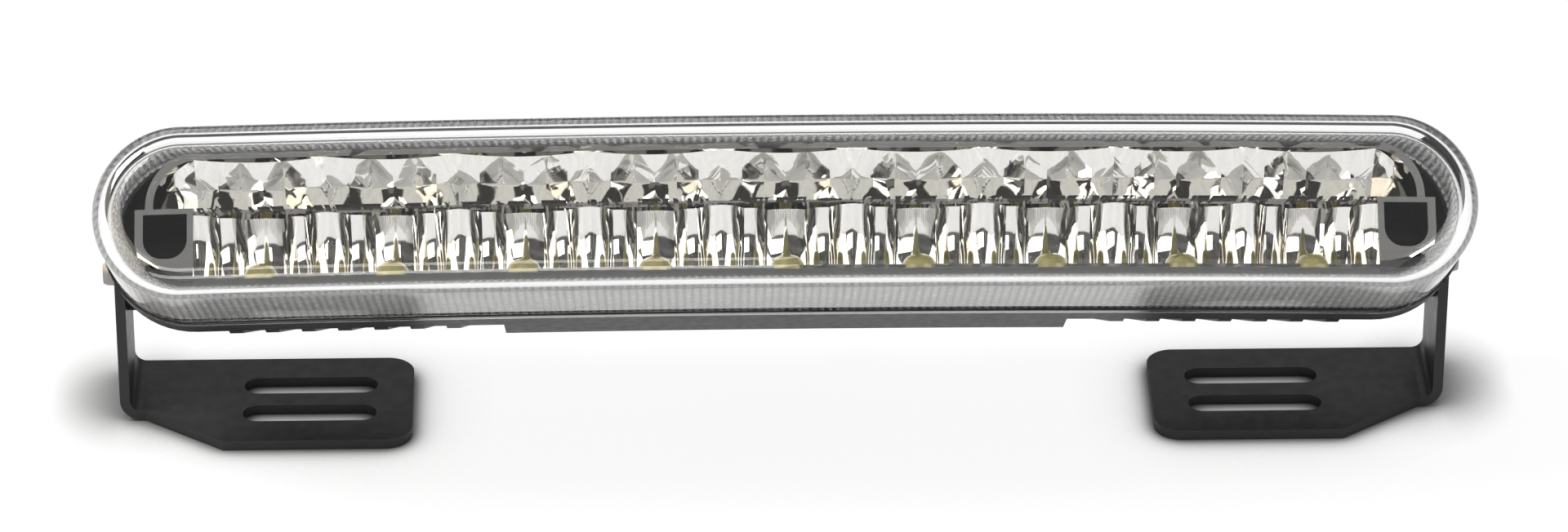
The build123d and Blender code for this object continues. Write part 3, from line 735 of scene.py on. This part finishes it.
def buildWorld():
    world = bpy.data.worlds.new("studio")
    scene.world = world
    world.use_nodes = True
    tree = world.node_tree
    background = tree.nodes["Background"]
    background.inputs["Color"].default_value = (1, 1, 1, 1)
    strength = addNode(tree, "ShaderNodeMapRange", To_Min=worldSet["fill"], To_Max=worldSet["seen"])
    tree.links.new(pathMask(tree, "Is Glossy Ray", "Is Transmission Ray"), strength.inputs["Value"])
    tree.links.new(strength.outputs["Result"], background.inputs["Strength"])


floorSet = {
    "half": 4, "drop": 0.0002, "pale": 0.85, "rough": 0.9,
    "glow": 0.88, "paintedShadowReach": 0.012, "paintedShadowPower": 4.0,
}


def buildFloor():
    # Pale floor, lifted to white for seen rays, which keeps a little of the real shadow; the lift
    # is darkened by ambient occlusion near the lamp, a painted shadow round the feet
    s = floorSet
    h = s["half"]
    floor = buildObject("floor", [(-h, -h, 0), (h, -h, 0), (h, h, 0), (-h, h, 0)], [(0, 1, 2, 3)])
    floor.location.z = -s["drop"]
    material, tree, shader = newMaterial("paleFloor")
    setSockets(shader, {"Base Color": (*[s["pale"]] * 3, 1), "Roughness": s["rough"]})
    # Ambient occlusion to a power dims the white lift: painted shadow close to the lamp
    paintedShadowOcclusion = addNode(tree, "ShaderNodeAmbientOcclusion", Distance=s["paintedShadowReach"])
    depth = addMath(tree, "POWER", s["paintedShadowPower"])
    glow = tree.nodes.new("ShaderNodeEmission")
    weight = addMath(tree, "MULTIPLY", s["glow"])
    mix = tree.nodes.new("ShaderNodeMixShader")
    seen = pathMask(tree, "Is Camera Ray", "Is Glossy Ray", "Is Transmission Ray")
    link = tree.links.new
    link(paintedShadowOcclusion.outputs["AO"], depth.inputs[0])
    link(depth.outputs[0], glow.inputs["Strength"])
    link(seen, weight.inputs[0])
    link(weight.outputs[0], mix.inputs[0])
    link(shader.outputs[0], mix.inputs[1])
    link(glow.outputs[0], mix.inputs[2])
    link(mix.outputs[0], tree.nodes["Material Output"].inputs["Surface"])
    dress(floor, material)


lightSet = {
    "aim": (0, 0, 0.03),
    "lamps": (  # name, place, size, watts, tint
        ("key", (-0.75, -0.1, 1.0), (0.4, 0.4), 14.0, (1, 1, 1)),
        ("overhead", (0.0, 0.2, 1.1), (1.4, 0.7), 1.8, (1, 1, 1)),
        ("frontHigh", (0.0, -0.65, 0.95), (1.4, 0.4), 0.35, (1, 1, 1)),
        ("frontLow", (-0.35, -1.3, 0.25), (0.8, 0.3), 4.5, (1, 0.97, 0.92)),
        ("leftCard", (-1.0, -0.55, 0.5), (1.2, 1.0), 9.0, (1, 0.92, 0.8)),
        ("rightCard", (1.0, -0.65, 0.5), (1.0, 1.0), 9.0, (1, 1, 1)),
        ("behind", (0.0, 0.9, 0.9), (1.6, 0.9), 4.5, (1, 1, 1)),
    ),
}


def softLamp(name, place, size, power, tint):
    data = bpy.data.lights.new(name, "AREA")
    data.shape = "RECTANGLE"
    data.size, data.size_y = size
    data.energy = power
    data.color = tint
    lamp = bpy.data.objects.new(name, data)
    scene.collection.objects.link(lamp)
    lamp.location = place
    facing = Vector(lightSet["aim"]) - Vector(place)
    lamp.rotation_euler = facing.to_track_quat("-Z", "Y").to_euler()


lens = buildLens()
print("clear cover:", len(lens.data.polygons), "faces")
reflector = buildReflector()
print("reflector:", len(reflector.data.polygons), "faces")
dressNodes()
dress(reflector, mirrorFinish())
dress(lens, coverFinish(), reedFinish())
print("finishes done")
buildWorld()
buildFloor()
for lamp in lightSet["lamps"]:
    softLamp(*lamp)
buildCamera()
print("studio done")
